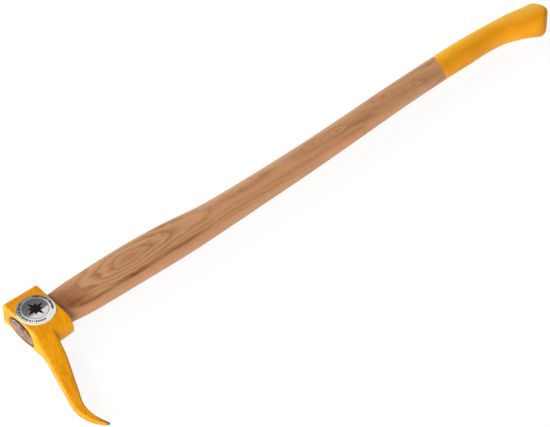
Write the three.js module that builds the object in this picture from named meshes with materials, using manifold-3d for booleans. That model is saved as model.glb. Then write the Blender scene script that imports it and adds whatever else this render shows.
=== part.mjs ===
// Pickaroon: a forged pick head, wedged on a curved hickory handle with a dip-coated grip.
// It lies on its cheek. Millimetres: +X runs from the head to the butt, the spike points to -Y
// and the labelled cheek faces +Z. The origin is on the lower cheek, below the eye block's middle.

import * as THREE from "three";
import { mergeVertices } from "three/addons/utils/BufferGeometryUtils.js";
import Module from "manifold-3d";

const wasm = await Module();
wasm.setup();

// Fits and cuts
const seatGap = 0.3; // left between pieces that are driven into each other
const overrun = 6; // how far a cutter reaches past what it cuts
const mergeReach = 1e-4; // points nearer than this are one point
const halvings = 24; // of a search for a point on a surface

// Eye block
const blockLength = 46.8; // along the handle
const headThickness = 30; // cheek to cheek
const pollReach = 29.8; // origin to the poll
const pollWall = 11.6; // poll to the eye, at the front face
const pollRound = 2.8; // long edges of the poll
const heelWall = 9.9; // eye to the underside, at the rear face
const undersideDrop = 5.2; // how much deeper the underside is at the front face
const archDepth = 14; // rise of the rounded underside, at the rear face
const frontArchDepth = 24; // the same at the front face, where it runs into the spike
const frontRound = 2; // edges of the front face
const rearRound = 1; // edges of the rear face

// Eye, an oval that widens to the front so that the wedged tongue can't slip back
const eyeFrontLength = 46.4;
const eyeFrontWidth = 25.6;
const eyeRearLength = 47.6;
const eyeRearWidth = 21.8;

// Spike: its axis leaves the block square, leans away from the handle and hooks back
const rootWidth = 28.2;
const rootRise = 14; // the axis starts this far below the origin, inside the block
const rootBendRadius = 164.5;
const spikeLean = 19.3; // degrees
const shankLength = 57.9; // straight stretch between the two bends
const hookRadius = 48.4;
const hookTurn = 59.9; // degrees
const spikeThickness = 11; // below the root
const flareStart = 5.3; // along the axis, where the cheeks start to draw in
const flareLength = 38;
const tipWidth = 1.3; // across the point
const rootProud = 2.1; // how far the root stands in front of the block's face
const rootTuck = 1.5; // how far the first section lies inside the block's faces
const tuckRun = 22;
const widthTaperShare = 0.69; // power of what is left of the axis
const thicknessTaperShare = 4; // power of what has passed of the axis
const spikePower = 7; // squareness of its section

// Handle: stations along its reach, each with the height of the axis, the depth and the width
const handleReach = 787.3; // origin to the corner of the butt
const shoulder = { atShare: 0.0763, axis: -5.1, depth: 51.2, width: 24.6 };
const swell = { atShare: 0.1652, axis: -4.6, depth: 53.7, width: 26.4 };
const hip = { atShare: 0.2415, axis: -6, depth: 51.6, width: 26.4 };
const waist = { atShare: 0.3177, axis: -8, depth: 42.7, width: 26 };
const shank = { atShare: 0.5083, axis: -3.7, depth: 36.4, width: 25.2 };
const grip = { atShare: 0.7115, axis: 5.5, depth: 33.4, width: 25.4 };
const palm = { atShare: 0.8322, axis: 8.5, depth: 32.4, width: 26.2 };
const wrist = { atShare: 0.9008, axis: 7.6, depth: 30.5, width: 26.8 };
const ankle = { atShare: 0.9427, axis: 1.6, depth: 39.4, width: 28.2 };
const foot = { atShare: 0.9757, axis: -8.1, depth: 51.6 };
const blankEnd = { atShare: 1.0037, axis: -14.8, depth: 63 }; // where the turned blank ended before the cuts
const bodyPower = 2.35; // squareness of the section, 2 is an ellipse
const tongueRecess = 0.9; // the tongue ends this far inside the eye

// Butt: two faces that meet in a corner, seen from the side
const buttCornerDrop = 8.1; // below the origin
const heelFaceLean = 12.3; // degrees, the short face above the corner
const toeCutLean = 47.5; // degrees, the long face below it
const heelRound = 10.8; // from the handle's back into the heel face
const buttBlend = 8; // how near each other the two faces start to blend
const buttRound = 4.5; // edge round the two faces
const toeRound = 9; // the same at the toe

// Grip coating
const coatLength = 167.3; // from where the dipped skin begins to the corner of the butt
const coatWall = 1;
const coatProud = 0.4; // how far the skin stands above the wood

// Wooden wedge and the slot sawn for it
const wedgeThickness = 4; // at its outer end
const wedgeTip = 1.2;
const wedgeDepth = 32;
const slotDepth = 37;

// Steel ring wedge
const ringRadius = 6.5;
const ringWall = 1.3;
const ringEdge = 0.4; // wall at the driven edge
const ringDepth = 9;
const ringSeatShare = 0.25; // its middle, above the eye's middle, as a share of the eye's length

// Foil label
const labelRadius = 22.2;
const labelThickness = 0.4;
const labelDrop = 1.3; // its middle, below the origin

// Steps of the curved surfaces
const handleSides = 32;
const spikeSides = 24;
const arcSteps = 12;
const cornerSteps = 3;
const handleSteps = 38;
const buttSteps = 8;
const roundSteps = 4;
const spikeSteps = 26;
const roundSides = 48;

// Places that follow from the sizes
const midThickness = headThickness / 2;
const frontFace = -blockLength / 2;
const rearFace = blockLength / 2;
const eyeMiddle = pollReach - pollWall - eyeFrontLength / 2;
const heelReach = eyeRearLength / 2 - eyeMiddle + heelWall;
const tongueEnd = frontFace + tongueRecess;
const woodOffset = coatProud - coatWall - seatGap;
const coatAt = handleReach - coatLength;

const neck = {
  at: rearFace,
  axis: eyeMiddle,
  depth: eyeRearLength - 2 * seatGap,
  width: eyeRearWidth - 2 * seatGap,
};
foot.width = headThickness - 2 * coatProud; // so that the coated butt rests level with the cheek
blankEnd.width = foot.width;
const stations = [shoulder, swell, hip, waist, shank, grip, palm, wrist, ankle, foot, blankEnd];
stations.forEach((station) => { station.at = station.atShare * handleReach; });
stations.unshift(neck);
const coatShare = (ankle.at - coatAt) / (ankle.at - neck.at);
const coatSteps = Math.round(handleSteps * coatShare);
const bareSteps = handleSteps - coatSteps;

const paint = new THREE.MeshStandardMaterial({ color: 0xeda018, roughness: 0.45, metalness: 0 });
const hickory = new THREE.MeshStandardMaterial({ color: 0xc08a62, roughness: 0.5, metalness: 0 });
const darkWood = new THREE.MeshStandardMaterial({ color: 0x8a5a42, roughness: 0.7, metalness: 0 });
const bareSteel = new THREE.MeshStandardMaterial({ color: 0x9a9690, roughness: 0.4, metalness: 1 });
const dipCoat = new THREE.MeshStandardMaterial({ color: 0xe8a21a, roughness: 0.35, metalness: 0 });
const foil = new THREE.MeshStandardMaterial({ color: 0xc9c9cd, roughness: 0.3, metalness: 0.8 });

// Geometry helpers

function solidOf(geometry) {
  geometry.deleteAttribute("normal");
  geometry.deleteAttribute("uv");
  const merged = mergeVertices(geometry, mergeReach);
  return new wasm.Manifold(new wasm.Mesh({
    numProp: 3,
    vertProperties: merged.attributes.position.array,
    triVerts: merged.index.array,
  }));
}

function geometryOf(solid) {
  const mesh = solid.getMesh();
  const geometry = new THREE.BufferGeometry();
  geometry.setAttribute("position", new THREE.BufferAttribute(mesh.vertProperties, mesh.numProp));
  geometry.setIndex(new THREE.BufferAttribute(mesh.triVerts, 1));
  geometry.computeVertexNormals();
  return geometry;
}

// Joins rings of equally many points into a closed body. The rings turn anticlockwise about the way on.
// The ends are closed around two hubs.
function loft(rings, hubs = [rings[0], rings.at(-1)].map(middleOf)) {
  const count = rings[0].length;
  const points = rings.flat();
  const faces = [];
  for (let start = 0; start < points.length - count; start += count) {
    for (let j = 0; j < count; j += 1) {
      const here = start + j;
      const next = start + ((j + 1) % count);
      faces.push(here, next, next + count, here, next + count, here + count);
    }
  }
  const last = points.length - count;
  for (let j = 0; j < count; j += 1) {
    const next = (j + 1) % count;
    faces.push(points.length, next, j);
    faces.push(points.length + 1, last + j, last + next);
  }
  const geometry = new THREE.BufferGeometry().setFromPoints([...points, ...hubs]);
  geometry.setIndex(faces);
  geometry.computeVertexNormals();
  return geometry;
}

function middleOf(ring) {
  const sum = new THREE.Vector3();
  ring.forEach((point) => sum.add(point));
  return sum.divideScalar(ring.length);
}

// A point of a superellipse: a power of 2 gives an ellipse, a higher one squares it off.
function ovalPoint(middle, across, halfAcross, halfUp, power, turn) {
  const reach = (value) => Math.sign(value) * Math.abs(value) ** (2 / power);
  return middle.clone()
    .addScaledVector(across, halfAcross * reach(Math.cos(turn)))
    .addScaledVector(up, halfUp * reach(Math.sin(turn)));
}

function turns(sides) {
  return Array.from({ length: sides }, (_, i) => (2 * Math.PI * (i + 0.5)) / sides);
}

const up = new THREE.Vector3(0, 0, 1);
const towardsPoll = new THREE.Vector3(0, 1, 0);
const alongHandle = new THREE.Vector3(1, 0, 0);

function ease(share) {
  return (1 - Math.cos(Math.PI * THREE.MathUtils.clamp(share, 0, 1))) / 2;
}

// Head

// How far a quarter round has drawn in, at a distance from the face that it ends in.
function drawnIn(radius, distance) {
  const left = THREE.MathUtils.clamp(1 - distance / radius, 0, 1);
  return radius * (1 - Math.sqrt(1 - left * left));
}

// The block's section in the plane of its faces: flat cheeks and poll, rounded underside.
function blockRing(x) {
  const inset = Math.max(drawnIn(frontRound, x - frontFace), drawnIn(rearRound, rearFace - x));
  const half = midThickness - inset;
  const forward = (rearFace - x) / blockLength;
  const reach = heelReach + undersideDrop * forward;
  const depth = THREE.MathUtils.lerp(archDepth, frontArchDepth, forward);
  const ring = [];
  for (let i = 0; i <= arcSteps; i += 1) {
    const turn = (Math.PI * i) / arcSteps;
    const y = -reach + depth - (depth - inset) * Math.sin(turn);
    ring.push(new THREE.Vector3(x, y, midThickness + half * Math.cos(turn)));
  }
  [-1, 1].forEach((side) => {
    for (let i = 0; i <= cornerSteps; i += 1) {
      const step = side < 0 ? i : cornerSteps - i;
      const turn = (Math.PI / 2) * (step / cornerSteps);
      const y = pollReach - inset - pollRound * (1 - Math.sin(turn));
      const z = midThickness + side * (half - pollRound * (1 - Math.cos(turn)));
      ring.push(new THREE.Vector3(x, y, z));
    }
  });
  return ring;
}

function eyeBlock() {
  const places = [];
  for (let i = 0; i <= cornerSteps; i += 1) {
    const inward = 1 - Math.cos((Math.PI / 2) * (i / cornerSteps));
    places.push(frontFace + frontRound * inward, rearFace - rearRound * inward);
  }
  return solidOf(loft(places.sort((a, b) => a - b).map(blockRing)));
}

// A point of the spike's axis and its direction: root bend, straight shank, hook.
function spikeAxis(along) {
  const lean = THREE.MathUtils.degToRad(spikeLean);
  const bendLength = rootBendRadius * lean;
  const heading = (angle) => new THREE.Vector3(Math.sin(angle), -Math.cos(angle), 0);
  const start = new THREE.Vector3(frontFace + rootWidth / 2 - rootProud, -rootRise, 0);
  const bent = Math.min(along, bendLength) / rootBendRadius;
  const at = start.clone();
  at.x -= rootBendRadius * (1 - Math.cos(bent));
  at.y -= rootBendRadius * Math.sin(bent);
  const straight = THREE.MathUtils.clamp(along - bendLength, 0, shankLength);
  at.addScaledVector(heading(-lean), straight);
  const hooked = Math.max(along - bendLength - shankLength, 0) / hookRadius;
  const chord = 2 * hookRadius * Math.sin(hooked / 2);
  at.addScaledVector(heading(hooked / 2 - lean), chord);
  return { at, heading: heading(hooked - bent) };
}

function spikeLength() {
  return rootBendRadius * THREE.MathUtils.degToRad(spikeLean) + shankLength
    + hookRadius * THREE.MathUtils.degToRad(hookTurn);
}

function spikeRing(share) {
  const along = share * spikeLength();
  const { at, heading } = spikeAxis(along);
  const tuck = rootTuck * (1 - ease(along / tuckRun));
  const width = tipWidth + (rootWidth - tipWidth) * (1 - share) ** widthTaperShare;
  const slim = tipWidth + (spikeThickness - tipWidth) * Math.sqrt(1 - share ** thicknessTaperShare);
  const flare = (headThickness - spikeThickness) * (1 - ease((along - flareStart) / flareLength));
  const across = new THREE.Vector3().crossVectors(up, heading);
  const middle = at.setZ(midThickness);
  const halfWidth = width / 2 - tuck;
  const halfThickness = (slim + flare) / 2 - tuck;
  return turns(spikeSides).map((turn) => ovalPoint(middle, across, halfWidth, halfThickness, spikePower, turn));
}

function spike() {
  const shareAt = (i) => Math.sin((Math.PI / 2) * (i / spikeSteps)); // closer rings towards the point
  return solidOf(loft(Array.from({ length: spikeSteps + 1 }, (_, i) => spikeRing(shareAt(i)))));
}

// The oval through the block, less a gap all round.
function eyeRing(x, gap) {
  const share = (x - frontFace) / blockLength;
  const length = THREE.MathUtils.lerp(eyeFrontLength, eyeRearLength, share);
  const width = THREE.MathUtils.lerp(eyeFrontWidth, eyeRearWidth, share);
  const middle = new THREE.Vector3(x, eyeMiddle, midThickness);
  const point = (turn) => ovalPoint(middle, towardsPoll, length / 2 - gap, width / 2 - gap, 2, turn);
  return turns(handleSides).map(point);
}

function pickHead() {
  const eye = solidOf(loft([eyeRing(frontFace - overrun, 0), eyeRing(rearFace + overrun, 0)]));
  return geometryOf(eyeBlock().add(spike()).subtract(eye));
}

// Handle

// One size of the handle at a distance from the origin, on a smooth curve through the stations.
function sizeAt(x, size) {
  const slopeAt = (i) => {
    const before = stations[Math.max(i - 1, 0)];
    const after = stations[Math.min(i + 1, stations.length - 1)];
    return (after[size] - before[size]) / (after.at - before.at);
  };
  const found = stations.findIndex((station) => station.at >= x);
  const next = found < 0 ? stations.length - 1 : Math.max(found, 1);
  const from = stations[next - 1];
  const to = stations[next];
  const run = to.at - from.at;
  const share = (x - from.at) / run;
  const toWeight = share * share * (3 - 2 * share);
  const fromSlope = share * (1 - share) ** 2 * run * slopeAt(next - 1);
  const toSlope = share * share * (share - 1) * run * slopeAt(next);
  return from[size] * (1 - toWeight) + to[size] * toWeight + fromSlope + toSlope;
}

// A point of the handle's surface, drawn in by an inset. Near its end the back is rounded into the heel.
function handlePoint(x, inset, turn) {
  const power = THREE.MathUtils.lerp(2, bodyPower, ease((x - neck.at) / (shoulder.at - neck.at)));
  const lowered = drawnIn(heelRound, handleReach - x);
  const middle = new THREE.Vector3(x, sizeAt(x, "axis") - lowered / 2, midThickness);
  const halfDepth = (sizeAt(x, "depth") - lowered) / 2 - inset;
  const halfWidth = sizeAt(x, "width") / 2 - inset;
  return ovalPoint(middle, towardsPoll, halfDepth, halfWidth, power, turn);
}

function handleRings(from, to, steps) {
  const places = Array.from({ length: steps + 1 }, (_, i) => THREE.MathUtils.lerp(from, to, i / steps));
  return places.map((x) => turns(handleSides).map((turn) => handlePoint(x, 0, turn)));
}

// How far a point stands past the end, two slanted faces that blend into each other.
function pastButt(point) {
  const beyond = (degrees) => {
    const lean = THREE.MathUtils.degToRad(degrees);
    return (point.x - handleReach) * Math.cos(lean) + (point.y + buttCornerDrop) * Math.sin(lean);
  };
  const heel = beyond(heelFaceLean);
  const toe = beyond(-toeCutLean);
  return Math.max(heel, toe) + Math.max(buttBlend - Math.abs(heel - toe), 0) ** 2 / (4 * buttBlend);
}

// Where a line along the handle comes within a distance of the end.
function nearEnd(pointAt, distance) {
  let inside = wrist.at;
  let outside = blankEnd.at;
  for (let i = 0; i < halvings; i += 1) {
    const x = (inside + outside) / 2;
    if (pastButt(pointAt(x)) > -distance) outside = x;
    else inside = x;
  }
  return pointAt(inside);
}

function buttHub(offset) {
  return nearEnd((x) => new THREE.Vector3(x, -buttCornerDrop, midThickness), 0)
    .addScaledVector(alongHandle, offset);
}

// From the ankle to the two end faces, with a rounded edge round them.
function buttRings() {
  const roundAt = (turn) => THREE.MathUtils.lerp(buttRound, toeRound, Math.max(-Math.cos(turn), 0));
  const rings = [];
  for (let i = 1; i <= buttSteps; i += 1) {
    rings.push(turns(handleSides).map((turn) => {
      const end = nearEnd((x) => handlePoint(x, 0, turn), roundAt(turn)).x;
      return handlePoint(THREE.MathUtils.lerp(ankle.at, end, i / buttSteps), 0, turn);
    }));
  }
  for (let i = 1; i <= roundSteps; i += 1) {
    const arc = (Math.PI / 2) * (i / roundSteps);
    rings.push(turns(handleSides).map((turn) => {
      const inset = roundAt(turn) * (1 - Math.cos(arc));
      const distance = roundAt(turn) * (1 - Math.sin(arc));
      return nearEnd((x) => handlePoint(x, inset, turn), distance);
    }));
  }
  return rings;
}

// The coated stretch, moved out along its normals, so that two layers keep their distance everywhere.
function gripRings(offset) {
  const rings = [...handleRings(coatAt, ankle.at, coatSteps), ...buttRings()];
  const onward = [...rings, rings[0].map(() => buttHub(0))];
  return rings.map((ring, i) => ring.map((point, j) => {
    const around = ring[(j + 1) % handleSides].clone().sub(ring.at(j - 1));
    const along = i > 0 ? onward[i + 1][j].clone().sub(rings[i - 1][j]) : alongHandle;
    return point.clone().addScaledVector(around.cross(along).normalize(), offset);
  }));
}

function tongue() {
  return [eyeRing(tongueEnd, seatGap), eyeRing(rearFace, seatGap)];
}

function handle() {
  const rings = [tongue()[0], ...handleRings(neck.at, coatAt, bareSteps), ...gripRings(woodOffset)];
  const body = loft(rings, [middleOf(rings[0]), buttHub(woodOffset)]);
  return geometryOf(solidOf(body).subtract(sawnSlot()).subtract(ringBody(seatGap, overrun)));
}

function gripCoating() {
  const innerOffset = coatProud - coatWall;
  const rings = [...gripRings(innerOffset).reverse(), ...gripRings(coatProud)];
  return loft(rings, [buttHub(innerOffset), buttHub(coatProud)]);
}

// Wedges

// A body across the tongue that thins from its outer end to its inner one.
function taperAcross(outerThickness, innerThickness, depth, past) {
  const reach = eyeFrontLength / 2 + past;
  const ringAt = (inward) => {
    const half = THREE.MathUtils.lerp(outerThickness, innerThickness, inward / depth) / 2;
    const corner = (y, z) => new THREE.Vector3(tongueEnd + inward, eyeMiddle + y, midThickness + z);
    return [corner(-reach, -half), corner(reach, -half), corner(reach, half), corner(-reach, half)];
  };
  return solidOf(loft([ringAt(-past), ringAt(depth)]));
}

function sawnSlot() {
  return taperAcross(wedgeThickness + 2 * seatGap, wedgeTip + 2 * seatGap, slotDepth, overrun);
}

function woodenWedge() {
  const blank = taperAcross(wedgeThickness, wedgeTip, wedgeDepth, 0);
  return geometryOf(blank.intersect(solidOf(loft(tongue()))).subtract(ringBody(seatGap, overrun)));
}

// The ring wedge, or with a gap its pocket: a tube that thins towards its driven edge.
function ringBody(gap, past) {
  const outer = (inward) => ringRadius - (ringWall - ringEdge) * (inward / ringDepth) + gap;
  const bore = ringRadius - ringWall - gap;
  const end = ringDepth + gap;
  const profile = [[outer(-past), -past], [outer(end), end], [bore, end], [bore, -past], [outer(-past), -past]];
  const ring = new THREE.LatheGeometry(profile.map(([x, y]) => new THREE.Vector2(x, y)), handleSides);
  ring.rotateZ(-Math.PI / 2);
  ring.translate(tongueEnd, eyeMiddle + ringSeatShare * eyeFrontLength, midThickness);
  return solidOf(ring);
}

// Label

function headLabel() {
  const disc = new THREE.CylinderGeometry(labelRadius, labelRadius, labelThickness, roundSides);
  disc.rotateX(Math.PI / 2);
  disc.translate(0, -labelDrop, headThickness + labelThickness / 2);
  return disc;
}

// Assembly

function piece(name, geometry, material) {
  const mesh = new THREE.Mesh(geometry, material);
  mesh.name = name;
  return mesh;
}

const pickaroon = new THREE.Group();
pickaroon.add(
  piece("pick_head", pickHead(), paint),
  piece("handle", handle(), hickory),
  piece("wooden_wedge", woodenWedge(), darkWood),
  piece("steel_wedge", geometryOf(ringBody(0, 0)), bareSteel),
  piece("grip_coating", gripCoating(), dipCoat),
  piece("head_label", headLabel(), foil),
);

export default pickaroon;
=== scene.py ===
import math

import bmesh
import bpy
import numpy as np
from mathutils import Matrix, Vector, noise


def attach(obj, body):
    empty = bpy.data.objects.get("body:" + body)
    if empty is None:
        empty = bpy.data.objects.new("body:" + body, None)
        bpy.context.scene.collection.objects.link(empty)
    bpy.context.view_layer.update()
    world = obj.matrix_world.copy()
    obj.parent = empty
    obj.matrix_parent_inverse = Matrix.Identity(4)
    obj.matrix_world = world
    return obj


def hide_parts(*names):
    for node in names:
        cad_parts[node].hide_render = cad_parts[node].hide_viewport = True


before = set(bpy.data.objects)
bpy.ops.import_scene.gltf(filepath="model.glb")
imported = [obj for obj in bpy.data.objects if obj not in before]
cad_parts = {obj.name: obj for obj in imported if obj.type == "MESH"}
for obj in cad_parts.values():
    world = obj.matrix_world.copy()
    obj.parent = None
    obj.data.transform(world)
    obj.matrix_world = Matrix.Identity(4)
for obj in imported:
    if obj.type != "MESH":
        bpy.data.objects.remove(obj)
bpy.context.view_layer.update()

mm = 0.001
scene = bpy.context.scene
scene.view_settings.view_transform = "Standard"


# wiring: one socket, with the sums that the trees below use

class Wire:
    tree = None

    def __init__(self, socket):
        self.socket = socket

    @classmethod
    def node(cls, kind, settings=None, inputs=None, output=0):
        made = cls.tree.nodes.new(kind)
        for name, value in (settings or {}).items():
            if name == "stops":
                ramp = made.color_ramp
                while len(ramp.elements) < len(value):
                    ramp.elements.new(0.5)
                for element, (place, colour) in zip(ramp.elements, value):
                    element.position = place
                    element.color = (*colour, 1.0)
            else:
                setattr(made, name, value)
        for key, value in (inputs or {}).items():
            if isinstance(value, Wire):
                cls.tree.links.new(value.socket, made.inputs[key])
            elif isinstance(value, list):
                for wire in value:
                    cls.tree.links.new(wire.socket, made.inputs[key])
            else:
                made.inputs[key].default_value = value
        return cls(made.outputs[output]) if made.outputs else None

    def other(self, name):
        return Wire(self.socket.node.outputs[name])

    def math(self, operation, *values):
        return Wire.node("ShaderNodeMath", {"operation": operation}, dict(enumerate((self, *values))))

    def __add__(self, value):
        return self.math("ADD", value)

    def __mul__(self, value):
        return self.math("MULTIPLY", value)

    def __sub__(self, value):
        return self.math("SUBTRACT", value)

    def __truediv__(self, value):
        return self.math("DIVIDE", value)

    def __pow__(self, value):
        return self.math("POWER", value)

    def __rsub__(self, value):
        return Wire.math(value, "SUBTRACT", self)

    def __rtruediv__(self, value):
        return Wire.math(value, "DIVIDE", self)

    __radd__ = __add__
    __rmul__ = __mul__


def rise(value, low, high):
    # 0 below low, 1 above high, smooth between them
    return Wire.node("ShaderNodeMapRange", {"interpolation_type": "SMOOTHSTEP"},
                     {"Value": value, "From Min": low, "From Max": high})


def hill(value, middle, reach):
    # 1 at the middle, falling to 0 at the reach on both sides
    return 1 - rise((value - middle).math("ABSOLUTE"), 0.0, reach)


def blendColour(share, first, second):
    inputs = {0: share}
    for key, colour in ((6, first), (7, second)):
        inputs[key] = colour if isinstance(colour, Wire) else (*colour, 1.0)
    return Wire.node("ShaderNodeMix", {"data_type": "RGBA"}, inputs, 2)


def layered(colour, *films):
    # each film has a share and the colour that it brings
    for share, tint in films:
        colour = blendColour(share, colour, tint)
    return colour


def pointValue(name):
    # for materials, what storeValues has left on the points
    return Wire.node("ShaderNodeAttribute", {"attribute_name": name}, output="Fac")


def storedValue(name, kind="FLOAT"):
    # the same for Geometry Nodes
    return Wire.node("GeometryNodeInputNamedAttribute", {"data_type": kind}, {"Name": name})


def apart(first, second):
    return (first * first + second * second).math("SQRT")


def placeInMm():
    spot = Wire.node("ShaderNodeTexCoord", output="Object")
    split = Wire.node("ShaderNodeSeparateXYZ", inputs={0: spot})
    return [split.other(axis) * 1000.0 for axis in "XYZ"]


def grit(place, size, detail=2.0, roughness=0.5):
    # noise about 0, with the size of its grains in millimetres, the same for all axes or one for each
    sizes = size if isinstance(size, tuple) else (size,) * 3
    spot = Wire.node("ShaderNodeCombineXYZ", inputs={i: place[i] / sizes[i] for i in range(3)})
    return Wire.node("ShaderNodeTexNoise", inputs={
        "Vector": spot, "Scale": 1.0, "Detail": detail, "Roughness": roughness}) - 0.5


def startMaterial(name):
    material = bpy.data.materials.new(name)
    material.use_nodes = True
    Wire.tree = material.node_tree
    Wire.tree.nodes.clear()
    return material


def finishMaterial(sockets, height, depth, strength):
    sockets["Normal"] = Wire.node("ShaderNodeBump", inputs={
        "Height": height, "Distance": depth * mm, "Strength": strength}, output="Normal")
    shader = Wire.node("ShaderNodeBsdfPrincipled", inputs=sockets)
    Wire.node("ShaderNodeOutputMaterial", inputs={"Surface": shader})


# meshes: rings of points in millimetres, turned anticlockwise about the way on

def turnsOf(sides):
    return 2 * math.pi * (np.arange(sides) + 0.5) / sides


def ease(share):
    return (1 - np.cos(np.pi * np.clip(share, 0, 1))) / 2


def lerp(start, end, share):
    return start + (end - start) * share


def drawnIn(radius, distance):
    left = np.clip(1 - distance / radius, 0, 1)
    return radius * (1 - np.sqrt(1 - left * left))


def squared(value, power):
    return np.sign(value) * np.abs(value) ** (2 / power)


def loft(rings, hubs=True):
    rings = np.array(rings, dtype=float)
    rows, sides = rings.shape[:2]
    points = rings.reshape(-1, 3)
    faces = []
    for row in range(rows - 1):
        for side in range(sides):
            here, after = row * sides + side, row * sides + (side + 1) % sides
            faces.append((here, after, after + sides, here + sides))
    if hubs is not False:
        ends = (rings[0].mean(axis=0), rings[-1].mean(axis=0)) if hubs is True else hubs
        points = np.vstack([points, ends])
        first, last = len(points) - 2, (rows - 1) * sides
        for side in range(sides):
            after = (side + 1) % sides
            faces += [(first, after, side), (first + 1, last + side, last + after)]
    return points, faces


def meshObject(name, points, faces, material=None):
    mesh = bpy.data.meshes.new(name)
    mesh.from_pydata((np.array(points) * mm).tolist(), [], faces)
    mesh.update()
    made = bpy.data.objects.new(name, mesh)
    scene.collection.objects.link(made)
    if material:
        mesh.materials.append(material)
    return made


def takeResult(made, modifier):
    # puts what the modifier gives in place of the mesh, and removes it
    bpy.context.view_layer.update()
    found = made.evaluated_get(bpy.context.evaluated_depsgraph_get())
    mesh = bpy.data.meshes.new_from_object(found)
    made.modifiers.remove(modifier)
    made.data = mesh


def carve(made, tool, operation):
    cut = made.modifiers.new("carve", "BOOLEAN")
    cut.object = tool
    cut.operation = operation
    cut.solver = "EXACT"
    takeResult(made, cut)
    bpy.data.objects.remove(tool)


def tidyFaces(made, smoothAngle=None):
    form = bmesh.new()
    form.from_mesh(made.data)
    loose = [point for point in form.verts if not point.link_faces]
    bmesh.ops.delete(form, geom=loose, context="VERTS")
    bmesh.ops.remove_doubles(form, verts=form.verts, dist=0.002 * mm)
    bmesh.ops.recalc_face_normals(form, faces=form.faces)
    form.to_mesh(made.data)
    form.free()
    made.data.shade_smooth()
    if smoothAngle:
        made.data.set_sharp_from_angle(angle=math.radians(smoothAngle))


def storeValues(mesh, name, values):
    layer = mesh.attributes.new(name, "FLOAT", "POINT")
    layer.data.foreach_set("value", np.asarray(values, dtype=np.float32))


def runTree(made, tree, values):
    grown = made.modifiers.new(tree.name, "NODES")
    grown.node_group = tree
    for item in tree.interface.items_tree:
        if item.in_out == "INPUT" and item.name in values:
            grown[item.identifier] = values[item.name]
    takeResult(made, grown)


def startTree(name, sockets):
    tree = bpy.data.node_groups.new(name, "GeometryNodeTree")
    Wire.tree = tree
    tree.interface.new_socket(name="Geometry", in_out="OUTPUT", socket_type="NodeSocketGeometry")
    for socketName, kind in {"Geometry": "NodeSocketGeometry", **sockets}.items():
        tree.interface.new_socket(name=socketName, in_out="INPUT", socket_type=kind)
    return tree, Wire.node("NodeGroupInput")


def finishTree(shape, material):
    real = Wire.node("GeometryNodeRealizeInstances", inputs={"Geometry": shape})
    dressed = Wire.node("GeometryNodeSetMaterial", inputs={"Geometry": real, "Material": material})
    Wire.node("NodeGroupOutput", inputs={0: dressed})


def scaled(vector, length):
    return Wire.node("ShaderNodeVectorMath", {"operation": "SCALE"}, {0: vector, 3: length})


def together(first, second):
    return Wire.node("ShaderNodeVectorMath", {"operation": "ADD"}, {0: first, 1: second})


# camera and studio

photoView = {
    "azimuth": -40.9, "elevation": 45.4, "distance": 2765.0, "target": (313.5, -38.0, 0.0), "lens": 157.1,
}

azimuth = math.radians(photoView["azimuth"])
elevation = math.radians(photoView["elevation"])
back = Vector((math.sin(azimuth) * math.cos(elevation), -math.cos(azimuth) * math.cos(elevation),
               math.sin(elevation)))
target = Vector(photoView["target"]) * mm
camera = bpy.data.objects.new("camera", bpy.data.cameras.new("camera"))
camera.data.lens = photoView["lens"]
camera.location = target + back * photoView["distance"] * mm
camera.rotation_euler = (-back).to_track_quat("-Z", "Y").to_euler()
scene.collection.objects.link(camera)
scene.camera = camera

studio = {
    "skyStrength": 0.26, "floorGlow": 0.89, "floorColour": (0.13, 0.13, 0.13),
    "floorSide": 30000.0, "floorDrop": 0.05,
    "lamps": (  # place, width, power in watts
        ((-5600.0, -2550.0, 2240.0), 5500.0, 610.0),
        ((2000.0, -5800.0, 3060.0), 4000.0, 36.0),
        ((-2750.0, 5400.0, 2720.0), 4000.0, 430.0),
    ),
}

world = bpy.data.worlds.new("studio")
scene.world = world
world.use_nodes = True
Wire.tree = world.node_tree
Wire.tree.nodes.clear()
sky = Wire.node("ShaderNodeBackground", inputs={
    "Color": (1.0, 1.0, 1.0, 1.0), "Strength": studio["skyStrength"]})
Wire.node("ShaderNodeOutputWorld", inputs={"Surface": sky})

for place, width, power in studio["lamps"]:
    lamp = bpy.data.objects.new("softbox", bpy.data.lights.new("softbox", "AREA"))
    lamp.data.size = width * mm
    lamp.data.energy = power
    lamp.location = Vector(place) * mm
    lamp.rotation_euler = (target - lamp.location).to_track_quat("-Z", "Y").to_euler()
    scene.collection.objects.link(lamp)

floorFinish = startMaterial("paleFloor")
Wire.node("ShaderNodeOutputMaterial", inputs={"Surface": Wire.node("ShaderNodeBsdfPrincipled", inputs={
    "Base Color": (*studio["floorColour"], 1.0), "Roughness": 0.9, "Specular IOR Level": 0.0,
    "Emission Color": (1.0, 1.0, 1.0, 1.0), "Emission Strength": studio["floorGlow"]})})
reach = studio["floorSide"] / 2
corners = [(a * reach, b * reach, -studio["floorDrop"]) for a, b in ((-1, -1), (1, -1), (1, 1), (-1, 1))]
floor = meshObject("floor", corners, [(0, 1, 2, 3)], floorFinish)
print("camera and studio set")


# head: a block and a swept spike, joined, opened for the eye and worn in as one forging

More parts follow.
